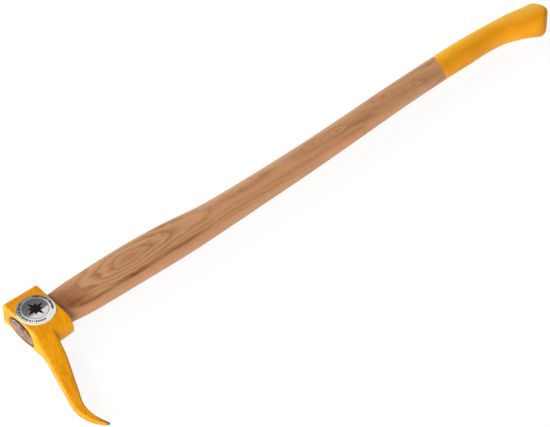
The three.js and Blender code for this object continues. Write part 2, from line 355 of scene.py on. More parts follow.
head = {
    "blockLength": 46.8, "thickness": 30.0, "pollReach": 29.8, "pollWall": 11.6, "pollRound": 2.8,
    "heelWall": 9.9, "undersideDrop": 5.2, "archDepth": 14.0, "frontArchDepth": 24.0, "frontRound": 2.0,
    "rearRound": 1.0, "eyeFront": (46.4, 25.6), "eyeRear": (47.6, 21.8),
    "rootWidth": 28.2, "rootRise": 14.0, "rootBendRadius": 164.5, "spikeLean": 19.3, "shankLength": 57.9,
    "hookRadius": 48.4, "hookTurn": 59.9, "spikeThickness": 11.0, "flareStart": 5.3, "flareLength": 38.0,
    "tipWidth": 1.3, "rootProud": 2.04, "rootTuck": 1.5, "tuckRun": 22.0, "widthTaper": 0.69,
    "thicknessTaper": 4.0, "spikePower": 7.0,
    "archSteps": 48, "cornerSteps": 8, "rimSteps": 6, "spikeSections": 120, "spikeSides": 64,
    "eyeSides": 128, "eyeOvershoot": 6.0, "voxel": 0.62, "smoothing": 3, "smoothShare": 0.55,
    "pointKept": (1.0, 8.0), "unevenness": 0.14, "dentSize": 9.0, "grain": 0.05, "grainSize": 1.3,
    "labelSeat": 1.5, "bulgeSpread": 3, "edgeBulge": 0.05, "hollowBulge": 0.03,
    "wornTip": 14.0, "wornInside": 0.15, "wornReach": 16.0,
}
middleZ = head["thickness"] / 2
frontFace, rearFace = -head["blockLength"] / 2, head["blockLength"] / 2
eyeMiddle = head["pollReach"] - head["pollWall"] - head["eyeFront"][0] / 2
heelReach = head["eyeRear"][0] / 2 - eyeMiddle + head["heelWall"]


def blockRing(x):
    inset = max(drawnIn(head["frontRound"], x - frontFace), drawnIn(head["rearRound"], rearFace - x))
    halfZ = middleZ - inset
    forward = (rearFace - x) / head["blockLength"]
    reach = heelReach + head["undersideDrop"] * forward
    depth = lerp(head["archDepth"], head["frontArchDepth"], forward)
    arch = np.linspace(0, np.pi, head["archSteps"] + 1)
    y = -reach + depth - (depth - inset) * np.sin(arch)
    ring = list(zip(y, middleZ + halfZ * np.cos(arch)))
    corner = np.linspace(0, np.pi / 2, head["cornerSteps"] + 1)
    y = head["pollReach"] - inset - head["pollRound"] * (1 - np.sin(corner))
    z = halfZ - head["pollRound"] * (1 - np.cos(corner))
    ring += list(zip(y, middleZ - z)) + list(zip(y[::-1], middleZ + z[::-1]))
    return [(x, a, b) for a, b in ring]


def spikeAxis(along):
    lean, bendRadius = math.radians(head["spikeLean"]), head["rootBendRadius"]
    bent = min(along / bendRadius, lean)
    at = np.array([frontFace + head["rootWidth"] / 2 - head["rootProud"], -head["rootRise"]])
    at += bendRadius * np.array([math.cos(bent) - 1, -math.sin(bent)])
    onward = max(along - bendRadius * lean, 0)
    at += min(onward, head["shankLength"]) * np.array([math.sin(-lean), -math.cos(lean)])
    hooked = max(onward - head["shankLength"], 0) / head["hookRadius"]
    chord = 2 * head["hookRadius"] * math.sin(hooked / 2)
    at += chord * np.array([math.sin(hooked / 2 - lean), -math.cos(hooked / 2 - lean)])
    return at, hooked - bent


spikeLength = (head["rootBendRadius"] * math.radians(head["spikeLean"]) + head["shankLength"]
               + head["hookRadius"] * math.radians(head["hookTurn"]))


def spikeChain(steps):
    # one point of the axis for each section, with the half sizes of the section there
    places, across, sizes = [], [], []
    for share in np.sin(np.linspace(0, np.pi / 2, steps + 1)):
        along = share * spikeLength
        at, angle = spikeAxis(along)
        tuck = head["rootTuck"] * (1 - ease(along / head["tuckRun"]))
        width = lerp(head["tipWidth"], head["rootWidth"], (1 - share) ** head["widthTaper"])
        slim = lerp(head["tipWidth"], head["spikeThickness"], math.sqrt(1 - share ** head["thicknessTaper"]))
        flare = (head["thickness"] - head["spikeThickness"]) * (
            1 - ease((along - head["flareStart"]) / head["flareLength"]))
        places.append((at[0], at[1], middleZ))
        across.append((math.cos(angle), math.sin(angle), 0.0))
        sizes.append((width / 2 - tuck, (slim + flare) / 2 - tuck))
    places, across = [places[0], *places, places[-1]], [across[0], *across, across[-1]]
    sizes = [(0.0, 0.0), *sizes, (0.0, 0.0)]
    chain = meshObject("spike", places, [])
    layer = chain.data.attributes.new("across", "FLOAT_VECTOR", "POINT")
    layer.data.foreach_set("vector", np.array(across, dtype=np.float32).ravel())
    for name, halves in zip(("halfAcross", "halfUp"), zip(*sizes)):
        storeValues(chain.data, name, np.array(halves) * mm)
    return chain


def sweptBarTree(material):
    # a superellipse on every point of the chain, joined along it
    tree, start = startTree("sweptBar", {"Sides": "NodeSocketInt", "Power": "NodeSocketFloat"})
    sides, power = start.other("Sides"), start.other("Power")
    rows = Wire.node("GeometryNodeAttributeDomainSize", {"component": "MESH"},
                     {"Geometry": start}, "Point Count")
    perRow = sides + 1
    sheet = Wire.node("GeometryNodeMeshGrid", inputs={"Vertices X": rows, "Vertices Y": perRow},
                      output="Mesh")
    index = Wire.node("GeometryNodeInputIndex")
    row = (index / perRow).math("FLOOR")
    turn = (index - row * perRow + 0.5) * (2 * math.pi) / sides

    def onChain(kind, value):
        return Wire.node("GeometryNodeSampleIndex", {"data_type": kind, "domain": "POINT"},
                         {"Geometry": start, "Value": value, "Index": row}, "Value")

    def reach(value):
        return value.math("SIGN") * value.math("ABSOLUTE") ** (2 / power)

    middle = onChain("FLOAT_VECTOR", Wire.node("GeometryNodeInputPosition"))
    across = onChain("FLOAT_VECTOR", storedValue("across", "FLOAT_VECTOR"))
    halfAcross, halfUp = [onChain("FLOAT", storedValue(name)) for name in ("halfAcross", "halfUp")]
    sideways = scaled(across, halfAcross * reach(turn.math("COSINE")))
    upward = scaled((0.0, 0.0, 1.0), halfUp * reach(turn.math("SINE")))
    spot = together(middle, together(sideways, upward))
    moved = Wire.node("GeometryNodeSetPosition", inputs={"Geometry": sheet, "Position": spot})
    welded = Wire.node("GeometryNodeMergeByDistance", inputs={"Geometry": moved, "Distance": 1e-6})
    finishTree(welded, material)
    return tree


def eyeRing(x, gap, sides):
    share = (x - frontFace) / head["blockLength"]
    openings = zip(head["eyeFront"], head["eyeRear"])
    halfY, halfZ = [lerp(front, rear, share) / 2 - gap for front, rear in openings]
    turn = turnsOf(sides)
    y, z = eyeMiddle + halfY * np.cos(turn), middleZ + halfZ * np.sin(turn)
    return np.stack([np.full(sides, x), y, z], axis=1)


def neighbourMean(values, edges, count):
    total = np.zeros_like(values)
    np.add.at(total, edges[:, 0], values[edges[:, 1]])
    np.add.at(total, edges[:, 1], values[edges[:, 0]])
    return total / (count if values.ndim == 1 else count[:, None])


def edgesOf(mesh):
    edges = np.empty(len(mesh.edges) * 2, dtype=np.int64)
    mesh.edges.foreach_get("vertices", edges)
    edges = edges.reshape(-1, 2)
    count = np.bincount(edges.ravel(), minlength=len(mesh.vertices)).astype(float)
    return edges, np.maximum(count, 1)


def pointsOf(mesh, what="co"):
    values = np.empty(len(mesh.vertices) * 3)
    mesh.vertices.foreach_get(what, values)
    return values.reshape(-1, 3)


def eyeDistance(y, z, share=0.0):
    # 0 in the middle of the eye and 1 on its wall, at a share of the way from the front to the rear
    offsets = []
    for value, middle, front, rear in zip((y, z), (eyeMiddle, middleZ), head["eyeFront"], head["eyeRear"]):
        offsets.append((value - middle) / (share * (rear - front) / 2 + front / 2))
    return apart(*offsets)


forgePaint = {  # grain sizes, the places where a colour fades in, and the colours
    "cloud": 14.0, "mottle": 2.6, "speck": 0.55, "streaks": (1.7, 24.0, 5.0),
    "spikeStart": (-30.0, -15.0), "hookStart": (-140.0, -95.0), "rootAt": (-42.0, 45.0),
    "pollStart": (24.0, 28.0),
    "deep": (0.71, 0.235, 0.0), "bright": (0.81, 0.330, 0.0), "darkStreak": (0.68, 0.200, 0.0),
    # some of these colours are painted light: those for edges and rims are painted highlights, those for
    # hollows, round the eye and under the hook are painted shade
    "lightStreak": (0.84, 0.370, 0.008), "hookShadeColour": (0.56, 0.215, 0.0), "root": (0.90, 0.400, 0.004),
    "lightSpot": (0.88, 0.43, 0.004), "darkSpot": (0.48, 0.16, 0.0), "edge": (0.86, 0.44, 0.02),
    "hollow": (0.42, 0.13, 0.0), "topRimHighlight": (0.90, 0.52, 0.14), "lowRimHighlight": (0.95, 0.78, 0.42),
    "eyeRimShade": (0.095, 0.060, 0.012), "bareTip": (0.115, 0.078, 0.020),
}


def forgePaintMaterial():
    material = startMaterial("forgePaint")
    paint = forgePaint
    place = x, y, z = placeInMm()
    edge, hollow, tip = [pointValue(name) for name in ("edge", "hollow", "tip")]
    cloud = grit(place, paint["cloud"], 3.0)
    mottle = grit(place, paint["mottle"], 4.0, 0.6)
    speck = grit(place, paint["speck"])
    # streaks along the shank, as the forging was drawn out, that fade on the block
    lean = math.radians(head["spikeLean"])
    along = x * -math.sin(lean) - y * math.cos(lean)
    streaks = grit((x * math.cos(lean) - y * math.sin(lean), along, z), paint["streaks"])
    drawn = 1 - rise(y, *paint["spikeStart"]) * 0.6
    # painted shade: the lower half of the hook is darker
    hookShade = (1 - rise(z, middleZ + 2.0, middleZ + 5.0)) * (1 - rise(y, *paint["hookStart"]))
    colour = blendColour(rise(cloud * 0.8 + mottle, -0.22, 0.24), paint["deep"], paint["bright"])
    colour = layered(
        colour,
        (rise(streaks, 0.02, 0.14) * 0.75 * drawn, paint["darkStreak"]),
        (rise(streaks * -1.0, 0.02, 0.14) * 0.7 * drawn, paint["lightStreak"]),
        (hookShade * 0.5, paint["hookShadeColour"]),
        (hill(y, *paint["rootAt"]) * 0.35, paint["root"]),
        (rise(mottle + speck * 0.5, 0.1, 0.3) * 0.4, paint["lightSpot"]),
        (rise(speck - mottle * 0.4, 0.14, 0.3) * 0.4, paint["darkSpot"]),
        # a painted highlight on the convex edges
        (edge * (0.15 + mottle), paint["edge"]),
        # painted shade in the hollows and creases
        (hollow * 0.1, paint["hollow"]))
    # the front rim has painted highlights over and under the eye, and painted shade round the eye where it
    # meets the wood
    fromEye = eyeDistance(y, z, (x - frontFace) / head["blockLength"]) + mottle * 0.03
    front = 1 - rise(x, frontFace + 2.0, frontFace + 3.0)
    besidePoll = 1 - rise(y, *paint["pollStart"])
    topRimHighlight = front * rise(z, head["thickness"] - 4.5, head["thickness"] - 2.5) * besidePoll
    lowRimHighlight = front * (1 - rise(z + mottle * 3.0, 2.5, 8.0)) * besidePoll
    eyeRimShade = front * (1 - rise(fromEye, 1.04, 1.10)) * (1 - rise(y, 6.0, 16.0) * 0.6)
    worn = rise(tip + mottle * 0.4 + speck * 0.3, 0.28, 0.85)
    colour = layered(
        colour,
        (topRimHighlight * rise(y, -36.0, -26.0) * 0.2, paint["topRimHighlight"]),
        (lowRimHighlight * 0.55, paint["lowRimHighlight"]),
        (eyeRimShade * 0.9, paint["eyeRimShade"]),
        (worn * 0.95, paint["bareTip"]))
    rough = 0.44 + mottle * 0.25 + worn * 0.1 + eyeRimShade * 0.4
    height = cloud * 1.6 + mottle + speck * 0.35
    finishMaterial({"Base Color": colour, "Roughness": rough, "Specular IOR Level": 0.18,
                    "Coat Weight": 0.06, "Coat Roughness": 0.3}, height, 0.3, 0.8)
    return material


def makeHead():
    paint = forgePaintMaterial()
    places = []
    for inward in 1 - np.cos(np.linspace(0, np.pi / 2, head["rimSteps"] + 1)):
        places += [frontFace + head["frontRound"] * inward, rearFace - head["rearRound"] * inward]
    forged = meshObject("pickHead", *loft([blockRing(x) for x in sorted(places)]), paint)
    tidyFaces(forged)
    swept = spikeChain(head["spikeSections"])
    runTree(swept, sweptBarTree(paint), {"Sides": head["spikeSides"], "Power": head["spikePower"]})
    tidyFaces(swept)
    carve(forged, swept, "UNION")
    ends = (frontFace - head["eyeOvershoot"], rearFace + head["eyeOvershoot"])
    eye = meshObject("eye", *loft([eyeRing(x, 0, head["eyeSides"]) for x in ends]))
    tidyFaces(eye)
    carve(forged, eye, "DIFFERENCE")
    shell = forged.modifiers.new("even", "REMESH")
    shell.mode = "VOXEL"
    shell.voxel_size = head["voxel"] * mm
    takeResult(forged, shell)
    wearIn(forged)
    forged.data.materials.clear()
    forged.data.materials.append(paint)
    return forged


def wearIn(forged):
    mesh = forged.data
    edges, count = edgesOf(mesh)
    points = pointsOf(mesh) / mm
    tipAt, tipAngle = spikeAxis(spikeLength)
    fromTip = np.linalg.norm(points - (*tipAt, middleZ), axis=1)
    inward = (points[:, :2] - tipAt) @ (math.cos(tipAngle), math.sin(tipAngle))  # to the hook's inner side
    sharpEnd, sharpRun = head["pointKept"]
    keen = np.clip((fromTip - sharpEnd) / sharpRun, 0.0, 1.0)[:, None]  # the point is left keen
    for _ in range(head["smoothing"]):
        points = lerp(points, neighbourMean(points, edges, count), head["smoothShare"] * keen)
    mesh.vertices.foreach_set("co", (points * mm).ravel())
    mesh.update()
    normals = pointsOf(mesh, "normal")
    bulge = np.einsum("ij,ij->i", points - neighbourMean(points, edges, count), normals)
    for _ in range(head["bulgeSpread"]):
        bulge = neighbourMean(bulge, edges, count)
    fromLabel = np.hypot(*(points[:, :2] - label["middle"]).T) - label["radius"]
    underLabel = np.clip(1 - fromLabel / head["labelSeat"], 0, 1)  # the label's seat stays flat
    underLabel *= points[:, 2] > head["thickness"] - 0.5
    dips = np.array([0.5 + 0.5 * noise.fractal(Vector(p) / head["dentSize"], 1.0, 2.0, 3) for p in points])
    fine = np.array([0.5 + 0.5 * noise.noise(Vector(p) / head["grainSize"]) for p in points])
    depth = head["unevenness"] * np.clip(dips, 0, 1) + head["grain"] * np.clip(fine, 0, 1)
    points -= normals * (depth * (1 - underLabel) * keen[:, 0])[:, None]
    mesh.vertices.foreach_set("co", (points * mm).ravel())
    worn = np.clip(1 - fromTip / head["wornTip"] + inward * head["wornInside"], 0, 1)
    # how far each point stands out, for a painted highlight on the edges
    storeValues(mesh, "edge", np.clip(bulge / head["edgeBulge"], 0, 1))
    # how far each point sinks in, for painted shade in the hollows
    storeValues(mesh, "hollow", np.clip(-bulge / head["hollowBulge"], 0, 1))
    storeValues(mesh, "tip", worn * (fromTip < head["wornReach"]))
    mesh.shade_smooth()
    mesh.update()


label = {  # it stands here because the forging keeps a flat seat for it
    "radius": 22.2, "middle": (0.0, -1.3), "thickness": 0.36, "edgeRound": 0.14, "bendRadius": 2.0,
    "inkThickness": 0.035, "printMiddle": (0.8, 0.15), "lineRadius": 15.0, "lineWidth": 0.5,
    "tickGroups": ((-38, 62, 15), (112, 172, 9), (183, 204, 4), (214, 268, 8)),  # from, to, how many
    "tickRadius": 18.5, "tickSize": (2.9, 1.5), "tickStretch": ((0.7, 0.55, 1.0), (1.0, 1.5, 1.0)), "seed": 7,
    "rays": (4.6, 12.2, 8.8, 2.7, 0.12),  # radius of foot, long and short ray, half width of foot and tip
    "rayTurn": 0.25, "sides": 144, "smoothAngle": 50, "inkAngle": 30,
    # the band and field tones are the ends of a painted reflection across the foil
    "bandDark": (0.31, 0.30, 0.285), "bandReflection": (0.95, 0.94, 0.90), "fieldDark": (0.130, 0.128, 0.124),
    "fieldMidReflection": (0.190, 0.180, 0.185), "fieldCornerReflection": (0.44, 0.43, 0.47), "fieldReflection": (0.84, 0.82, 0.81),
    "bent": (1.0, 0.98, 0.94), "ink": (0.006, 0.006, 0.007), "inkWorn": (0.04, 0.04, 0.042),
}

pickHead = makeHead()
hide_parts("pick_head")
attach(pickHead, "root")
print("head forged:", len(pickHead.data.polygons), "faces")


# handle: the blank through its stations, cut off by two slanted faces

handle = {
    "reach": 787.3,
    "stations": (  # share of the reach, height of the axis, depth, width
        (0.0763, -5.1, 51.2, 24.6), (0.1652, -4.6, 53.7, 26.4), (0.2415, -6.0, 51.6, 26.4),
        (0.3177, -8.0, 42.7, 26.0), (0.5083, -3.7, 36.4, 25.2), (0.7115, 5.5, 33.4, 25.4),
        (0.8322, 8.5, 32.4, 26.2), (0.9008, 7.6, 30.5, 26.8), (0.9427, 1.6, 39.4, 28.2),
        (0.9757, -8.1, 51.6, 29.2), (1.0037, -14.8, 63.0, 29.2),
    ),
    "bodyPower": 2.35, "tongueRecess": 0.9, "seatGap": 0.3, "endRound": 0.5,
    "cornerDrop": 8.1, "heelFaceLean": 12.3, "toeCutLean": 47.5, "heelRound": 10.8, "buttBlend": 8.0,
    "buttRound": 4.5, "toeRound": 9.0,
    "sides": 96, "bareSteps": 190, "coatSteps": 46, "buttSteps": 16, "roundSteps": 10,
    "slot": (4.6, 1.8, 37.0),  # outer width, inner width, depth
    "pocket": (6.8, 0.9, 4.9, 9.3), "pocketShare": 0.25,  # outer radius, its taper, inner radius, depth
    "cutPast": 6.0, "endHalvings": 30, "smoothAngle": 40,
}
coat = {
    "length": 167.3, "wall": 1.0, "proud": 0.35, "run": 24.0, "flush": 0.63,
    "lipShares": (0.0, 0.002, 0.08, *np.linspace(0.18, 0.9, 7), 1.0),
    "filmSlant": (-0.316, 0.348), "filmEdge": (0.4, 0.9), "film": (0.790, 0.300, 0.0),
    # besides random tone and dust, these hold a painted shade for the lower side and a painted highlight for
    # the upper side, with its share and rise
    "deep": (0.760, 0.280, 0.0), "bright": (0.820, 0.325, 0.0), "under": (0.470, 0.185, 0.0),
    "top": (0.930, 0.530, 0.050), "upperLightShare": 0.75, "upperLightRise": (0.0, 21.0), "dust": (0.80, 0.45, 0.03),
}
tongueEnd = frontFace + handle["tongueRecess"]
coatAt = handle["reach"] - coat["length"]
stationTable = np.array([
    (rearFace, eyeMiddle, *[size - 2 * handle["seatGap"] for size in head["eyeRear"]]),
    *[(share * handle["reach"], *sizes) for share, *sizes in handle["stations"]]])
wristAt, ankleAt, blankEnd = stationTable[8, 0], stationTable[9, 0], stationTable[11, 0]


def sizeAt(x, column):
    at, values = stationTable[:, 0], stationTable[:, column]
    order = np.arange(len(at))
    before, after = np.maximum(order - 1, 0), np.minimum(order + 1, len(at) - 1)
    slopes = (values[after] - values[before]) / (at[after] - at[before])
    later = np.clip(np.searchsorted(at, x), 1, len(at) - 1)
    run = at[later] - at[later - 1]
    share = (x - at[later - 1]) / run
    weight = share * share * (3 - 2 * share)
    leaving, arriving = share * (1 - share) ** 2 * run, share * share * (share - 1) * run
    return (lerp(values[later - 1], values[later], weight)
            + leaving * slopes[later - 1] + arriving * slopes[later])


def handlePoint(x, inset, turn):
    x = np.asarray(x, dtype=float) + 0 * turn
    power = lerp(2, handle["bodyPower"], ease((x - rearFace) / (stationTable[1, 0] - rearFace)))
    lowered = drawnIn(handle["heelRound"], handle["reach"] - x)
    halfY = (sizeAt(x, 2) - lowered) / 2 - inset
    halfZ = sizeAt(x, 3) / 2 - inset
    y = sizeAt(x, 1) - lowered / 2 + halfY * squared(np.cos(turn), power)
    return np.stack([x, y, middleZ + halfZ * squared(np.sin(turn), power)], axis=-1)


def pastButt(point):
    heel, toe = [(point[..., 0] - handle["reach"]) * math.cos(math.radians(lean))
                 + (point[..., 1] + handle["cornerDrop"]) * math.sin(math.radians(lean))
                 for lean in (handle["heelFaceLean"], -handle["toeCutLean"])]
    blend = handle["buttBlend"]
    return np.maximum(heel, toe) + np.maximum(blend - np.abs(heel - toe), 0) ** 2 / (4 * blend)


def nearEnd(pointAt, distance, sides=handle["sides"]):
    inside, outside = np.full(sides, wristAt), np.full(sides, blankEnd)
    for _ in range(handle["endHalvings"]):
        x = (inside + outside) / 2
        beyond = pastButt(pointAt(x)) > -distance
        outside, inside = np.where(beyond, x, outside), np.where(beyond, inside, x)
    return pointAt(inside)


def gripSkin(lipRows):
    # rings over the coated stretch and round the butt, and the hub that closes them
    turn = turnsOf(handle["sides"])
    places = [coatAt + row for row in lipRows]
    places += list(np.linspace(places[-1], ankleAt, handle["coatSteps"] + 1)[1:])
    rings = [handlePoint(x, 0, turn) for x in places]
    edge = lerp(handle["buttRound"], handle["toeRound"], np.maximum(-np.cos(turn), 0))
    end = nearEnd(lambda x: handlePoint(x, 0, turn), edge)[:, 0]
    for share in np.linspace(0, 1, handle["buttSteps"] + 1)[1:]:
        rings.append(handlePoint(lerp(ankleAt, end, share), 0, turn))
    for arc in np.linspace(0, np.pi / 2, handle["roundSteps"] + 1)[1:]:
        inset = edge * (1 - math.cos(arc))
        rings.append(nearEnd(lambda x: handlePoint(x, inset, turn), edge * (1 - math.sin(arc))))
    hub = nearEnd(lambda x: np.array([[x[0], -handle["cornerDrop"], middleZ]]), 0.0, 1)[0]
    rim = rings[-1]
    for share in (0.75, 0.5, 0.25):  # across the two end faces, which are not quite flat
        flat = hub + (rim - hub) * share
        rings.append(nearEnd(lambda x: np.stack([x, flat[:, 1], flat[:, 2]], axis=-1), 0.0))
    return np.array(rings), hub


def movedOut(rings, hub, offset):
    onward = np.concatenate([rings, np.broadcast_to(hub, rings[:1].shape)])
    around = np.roll(rings, -1, axis=1) - np.roll(rings, 1, axis=1)
    along = np.empty_like(rings)
    along[1:] = onward[2:] - onward[:-2]
    along[0] = (1, 0, 0)
    normal = np.cross(around, along)
    return rings + offset * normal / np.linalg.norm(normal, axis=2, keepdims=True)


hickory = {
    "ovals": (  # middle, reaches along and across, what they gain past it, slant, value in the middle
        ((129.0, -4.0), (84.0, 19.0), 0.22, 0.0, 0.0),
        ((422.0, -2.38), (38.0, 5.5), 0.0, 0.04, 0.1),
        ((541.0, 1.53), (40.0, 5.0), 0.0, 0.17, 0.1),
    ),
    "rings": 3.4, "firstRing": 0.54,
    "turnBack": (75.0, 52.0, -8.0, 17.5),  # start, reach, middle and half height of a dark line
    "ring": (0.345, 0.135, 0.052), "early": (0.560, 0.292, 0.132), "plain": (0.565, 0.272, 0.122),
    "fibre": (0.400, 0.185, 0.085), "band": (0.580, 0.305, 0.165), "heart": (0.385, 0.185, 0.085),
    # the last colour on the next line is painted light on the handle's upper side
    "belly": (0.530, 0.255, 0.128), "glow": (0.620, 0.265, 0.122), "upperSideLight": (0.620, 0.355, 0.215),
    "pore": (0.190, 0.078, 0.030), "dark": (0.240, 0.062, 0.018),
}
sawnEnd = {
    "dark": (0.105, 0.058, 0.036), "light": (0.390, 0.235, 0.180), "violet": (0.300, 0.225, 0.290),
    "pale": (0.560, 0.400, 0.380), "red": (0.085, 0.022, 0.016), "olive": (0.090, 0.056, 0.020),
    # the last colour is painted shadow under the upper rim of the eye
    "tan": (0.260, 0.180, 0.085), "rim": (0.040, 0.016, 0.004),
}


def ovalField(x, y, middle, reach, gain, slant, start):
    # grows by 1 from the middle to the outer ring, and past it only across the grain
    onward = x - middle[0]
    sideways = y - middle[1] + onward * slant
    along = (onward / (onward * gain + reach[0])).math("ABSOLUTE") ** 1.4
    across = sideways / (sideways * gain + reach[1])
    return (along.math("MINIMUM", 1.15) + across * across).math("SQRT") + start


def sawnEndColour(x, y, z):
    # streaks along the eye with a violet stain, paler and darker patches, and painted shadow: a dark band
    # under the rim
    streaks = grit((x, y, z), (3.0, 6.5, 0.9), 3.0, 0.6)
    blot = grit((x, y, z), 8.0)
    fromEye = eyeDistance(y, z) + streaks * 0.08
    # painted shadow that the upper rim of the eye casts on the recessed end
    rim = rise(fromEye, 0.52, 0.68) * rise(z - y * 0.05, 16.0, 20.0) * (1 - rise(y, 10.0, 20.0) * 0.5)
    colour = blendColour(rise(streaks + blot * 0.4, -0.10, 0.10), sawnEnd["dark"], sawnEnd["light"])
    return layered(
        colour,
        (hill(y, 11.0, 12.0) * 0.6, sawnEnd["violet"]),
        (hill(y + z * 0.3, -13.5, 5.0) * rise(streaks, -0.06, 0.05) * 0.7, sawnEnd["pale"]),
        (hill(y + z * 0.5, 4.0, 7.0) * rise(z, 12.0, 17.0) * 0.9, sawnEnd["red"]),
        (hill(y - z * 0.9, -22.0, 4.0) * 0.85, sawnEnd["olive"]),
        (hill(y, -13.0, 14.0) * (1 - rise(z, 8.0, 13.0)) * 0.6, sawnEnd["tan"]),
        (rim * 0.95, sawnEnd["rim"]))


def hickoryMaterial():
    material = startMaterial("hickory")
    place = x, y, z = placeInMm()
    warp = grit(place, (42.0, 11.0, 14.0))
    ripple = grit(place, (8.0, 3.0, 3.0), 3.0, 0.6)
    pores = grit(place, (7.0, 0.32, 0.32), 1.0)
    fibre = grit(place, (26.0, 0.8, 0.8))
    band = grit(place, (110.0, 7.0, 7.0))
    # flat-sawn figure: nested ovals at three places, and lines along the grain between them
    figure, *others = [ovalField(x, y, *oval) for oval in hickory["ovals"]]
    for oval in others:
        figure = figure.math("MINIMUM", oval)
    figure = (figure + warp * 0.42 + ripple * (0.17 - rise(x, 260.0, 360.0) * 0.12)).math("MAXIMUM", 0.2)
    early = Wire.node("ShaderNodeValToRGB", {"stops": [(at, (level,) * 3) for at, level in (
        (0.0, 0.0), (0.16, 0.38), (0.42, 0.85), (0.72, 1.0), (0.90, 0.72), (1.0, 0.0))]},
        {"Fac": (figure * hickory["rings"] + hickory["firstRing"]).math("FRACT")}, "Color")
    early = Wire.node("ShaderNodeSeparateXYZ", inputs={0: early})
    # the dark line turns back behind the head, and bend is 1 on it
    start, reach, middle, halfHeight = hickory["turnBack"]
    left = ((start - x) / reach).math("MAXIMUM", 0.0)
    bend = apart(left, (y - middle + warp * 4.0) / halfHeight)
    lower = 1 - rise(y, -12.0, 2.0)
    belly = rise(bend, 1.0, 1.1) * (1 - rise(y, -20.0, -10.0))
    strong = (1 - rise(x, 215.0, 300.0) * 0.1) * (1 - belly * 0.75) * (1 - rise(figure, 1.2, 1.5) * 0.5)
    colour = blendColour(strong, hickory["plain"], blendColour(early, hickory["ring"], hickory["early"]))
    heart = (1 - rise(figure, 0.34, 0.43)) * (1 - rise(x, 250.0, 300.0))
    glow = hill(y + warp * 6.0 + x * 0.02, -9.0, 8.0) * rise(x, 190.0, 260.0) * (1 - rise(x, 540.0, 600.0))
    # painted light: the upper side of the handle is paler
    upperSideLight = rise(y - x * 0.055 + warp * 4.0, -22.0, -12.0) * rise(x, 180.0, 260.0)
    poreShow = rise(pores, 0.10, 0.24) * (1.15 - early)
    patch = hill(x, 34.0, 38.0) * rise(bend, 0.15, 0.8) * (1 - rise(bend, 0.96, 1.04) * lower)
    patch = patch * (1 - rise(y, -6.0, 26.0) * 0.65) * 0.8
    patch = patch + hill(x, 52.0, 26.0) * hill(y + warp * 6.0, -15.0, 11.0) * 0.4
    swells = hill(x, 52.0, 40.0) * 0.45 + hill(x, 122.0, 34.0) * 0.5 + hill(x, 186.0, 26.0) * 0.35
    line = hill(bend + ripple * 0.1, 0.98, 0.20) * lower * (1 - rise(x, 205.0, 240.0)) * (0.55 + swells)
    colour = layered(
        colour,
        (rise(fibre, -0.1, 0.25) * 0.35, hickory["fibre"]),
        (rise(band, -0.1, 0.2) * 0.35, hickory["band"]),
        (heart * 0.35, hickory["heart"]),
        (belly * (1 - rise(x, 210.0, 260.0)) * 0.45, hickory["belly"]),
        (glow * (0.6 + rise(fibre, -0.1, 0.1) * 0.6) * 0.75, hickory["glow"]),
        (upperSideLight * 0.45, hickory["upperSideLight"]),
        (poreShow * 0.45, hickory["pore"]),
        (patch.math("MAXIMUM", line) * (0.9 + fibre + ripple * 0.6), hickory["dark"]))
    endGrain = 1 - rise(x, tongueEnd + 0.2, tongueEnd + 0.6)
    # a thin film of the dip runs ahead of the skin, up to the tilted line that the bath left
    dipLine = x + y * coat["filmSlant"][0] + z * coat["filmSlant"][1] - coatAt
    # its upper side is paler: a painted highlight
    dipped = blendColour(rise(y, *coat["upperLightRise"]) * coat["upperLightShare"], coat["film"], coat["top"])
    colour = layered(colour, (endGrain, sawnEndColour(x, y, z)), (rise(dipLine, *coat["filmEdge"]), dipped))
    finishMaterial({"Base Color": colour, "Roughness": 0.46 + poreShow * 0.2 + endGrain * 0.45,
                    "Specular IOR Level": 0.35}, early * 0.35 - poreShow + fibre * 0.4, 0.08, 0.6)
    return material


def dipCoatMaterial():
    material = startMaterial("dipCoat")
    place = x, y, _ = placeInMm()
    sag = grit(place, (34.0, 9.0, 9.0))
    peel = grit(place, (1.8, 1.1, 1.1))
    dust = grit(place, 0.5, 1.0)
    upward = y + (x - 700.0).math("MAXIMUM", 0.0) * 0.22 + sag * 4.0  # follows the bend of the butt
    colour = blendColour(rise(sag + peel * 0.3, -0.25, 0.25), coat["deep"], coat["bright"])
    colour = layered(
        colour,
        # painted shade on the lower side, and a painted highlight on the upper side
        ((1 - rise(upward, -20.0, -4.0)) * 0.85, coat["under"]),
        (rise(upward, *coat["upperLightRise"]) * coat["upperLightShare"], coat["top"]),
        (rise(dust, 0.2, 0.3) * 0.25, coat["dust"]))
    finishMaterial({"Base Color": colour, "Roughness": 0.55 + peel * 0.12, "Specular IOR Level": 0.25,
                    "Coat Weight": 0.05, "Coat Roughness": 0.4}, sag * 2.0 + peel * 0.35, 0.12, 0.5)
    return material


def wedgeSlot():
    outer, inner, depth = handle["slot"]
    past = handle["cutPast"]
    reach = head["eyeFront"][0] / 2 + past
    rings = []
    for inward in (-past, depth):
        halfZ = lerp(outer, inner, inward / depth) / 2
        x = tongueEnd + inward
        rings.append([(x, eyeMiddle + side * reach, middleZ + level * halfZ)
                      for side, level in ((-1, -1), (1, -1), (1, 1), (-1, 1))])
    return meshObject("slot", *loft(rings))


def ringPocket():
    outer, taper, inner, depth = handle["pocket"]
    past = -handle["cutPast"]
    turn = turnsOf(handle["sides"])
    outline = ((outer + taper * 0.6, past), (outer - taper, depth), (inner, depth), (inner, past))
    rings = []
    for radius, inward in outline:
        x = np.full(len(turn), tongueEnd + inward)
        y = eyeMiddle + handle["pocketShare"] * head["eyeFront"][0] + radius * np.cos(turn)
        rings.append(np.stack([x, y, middleZ + radius * np.sin(turn)], axis=1))
    return meshObject("pocket", *loft([*rings, rings[0]], False))


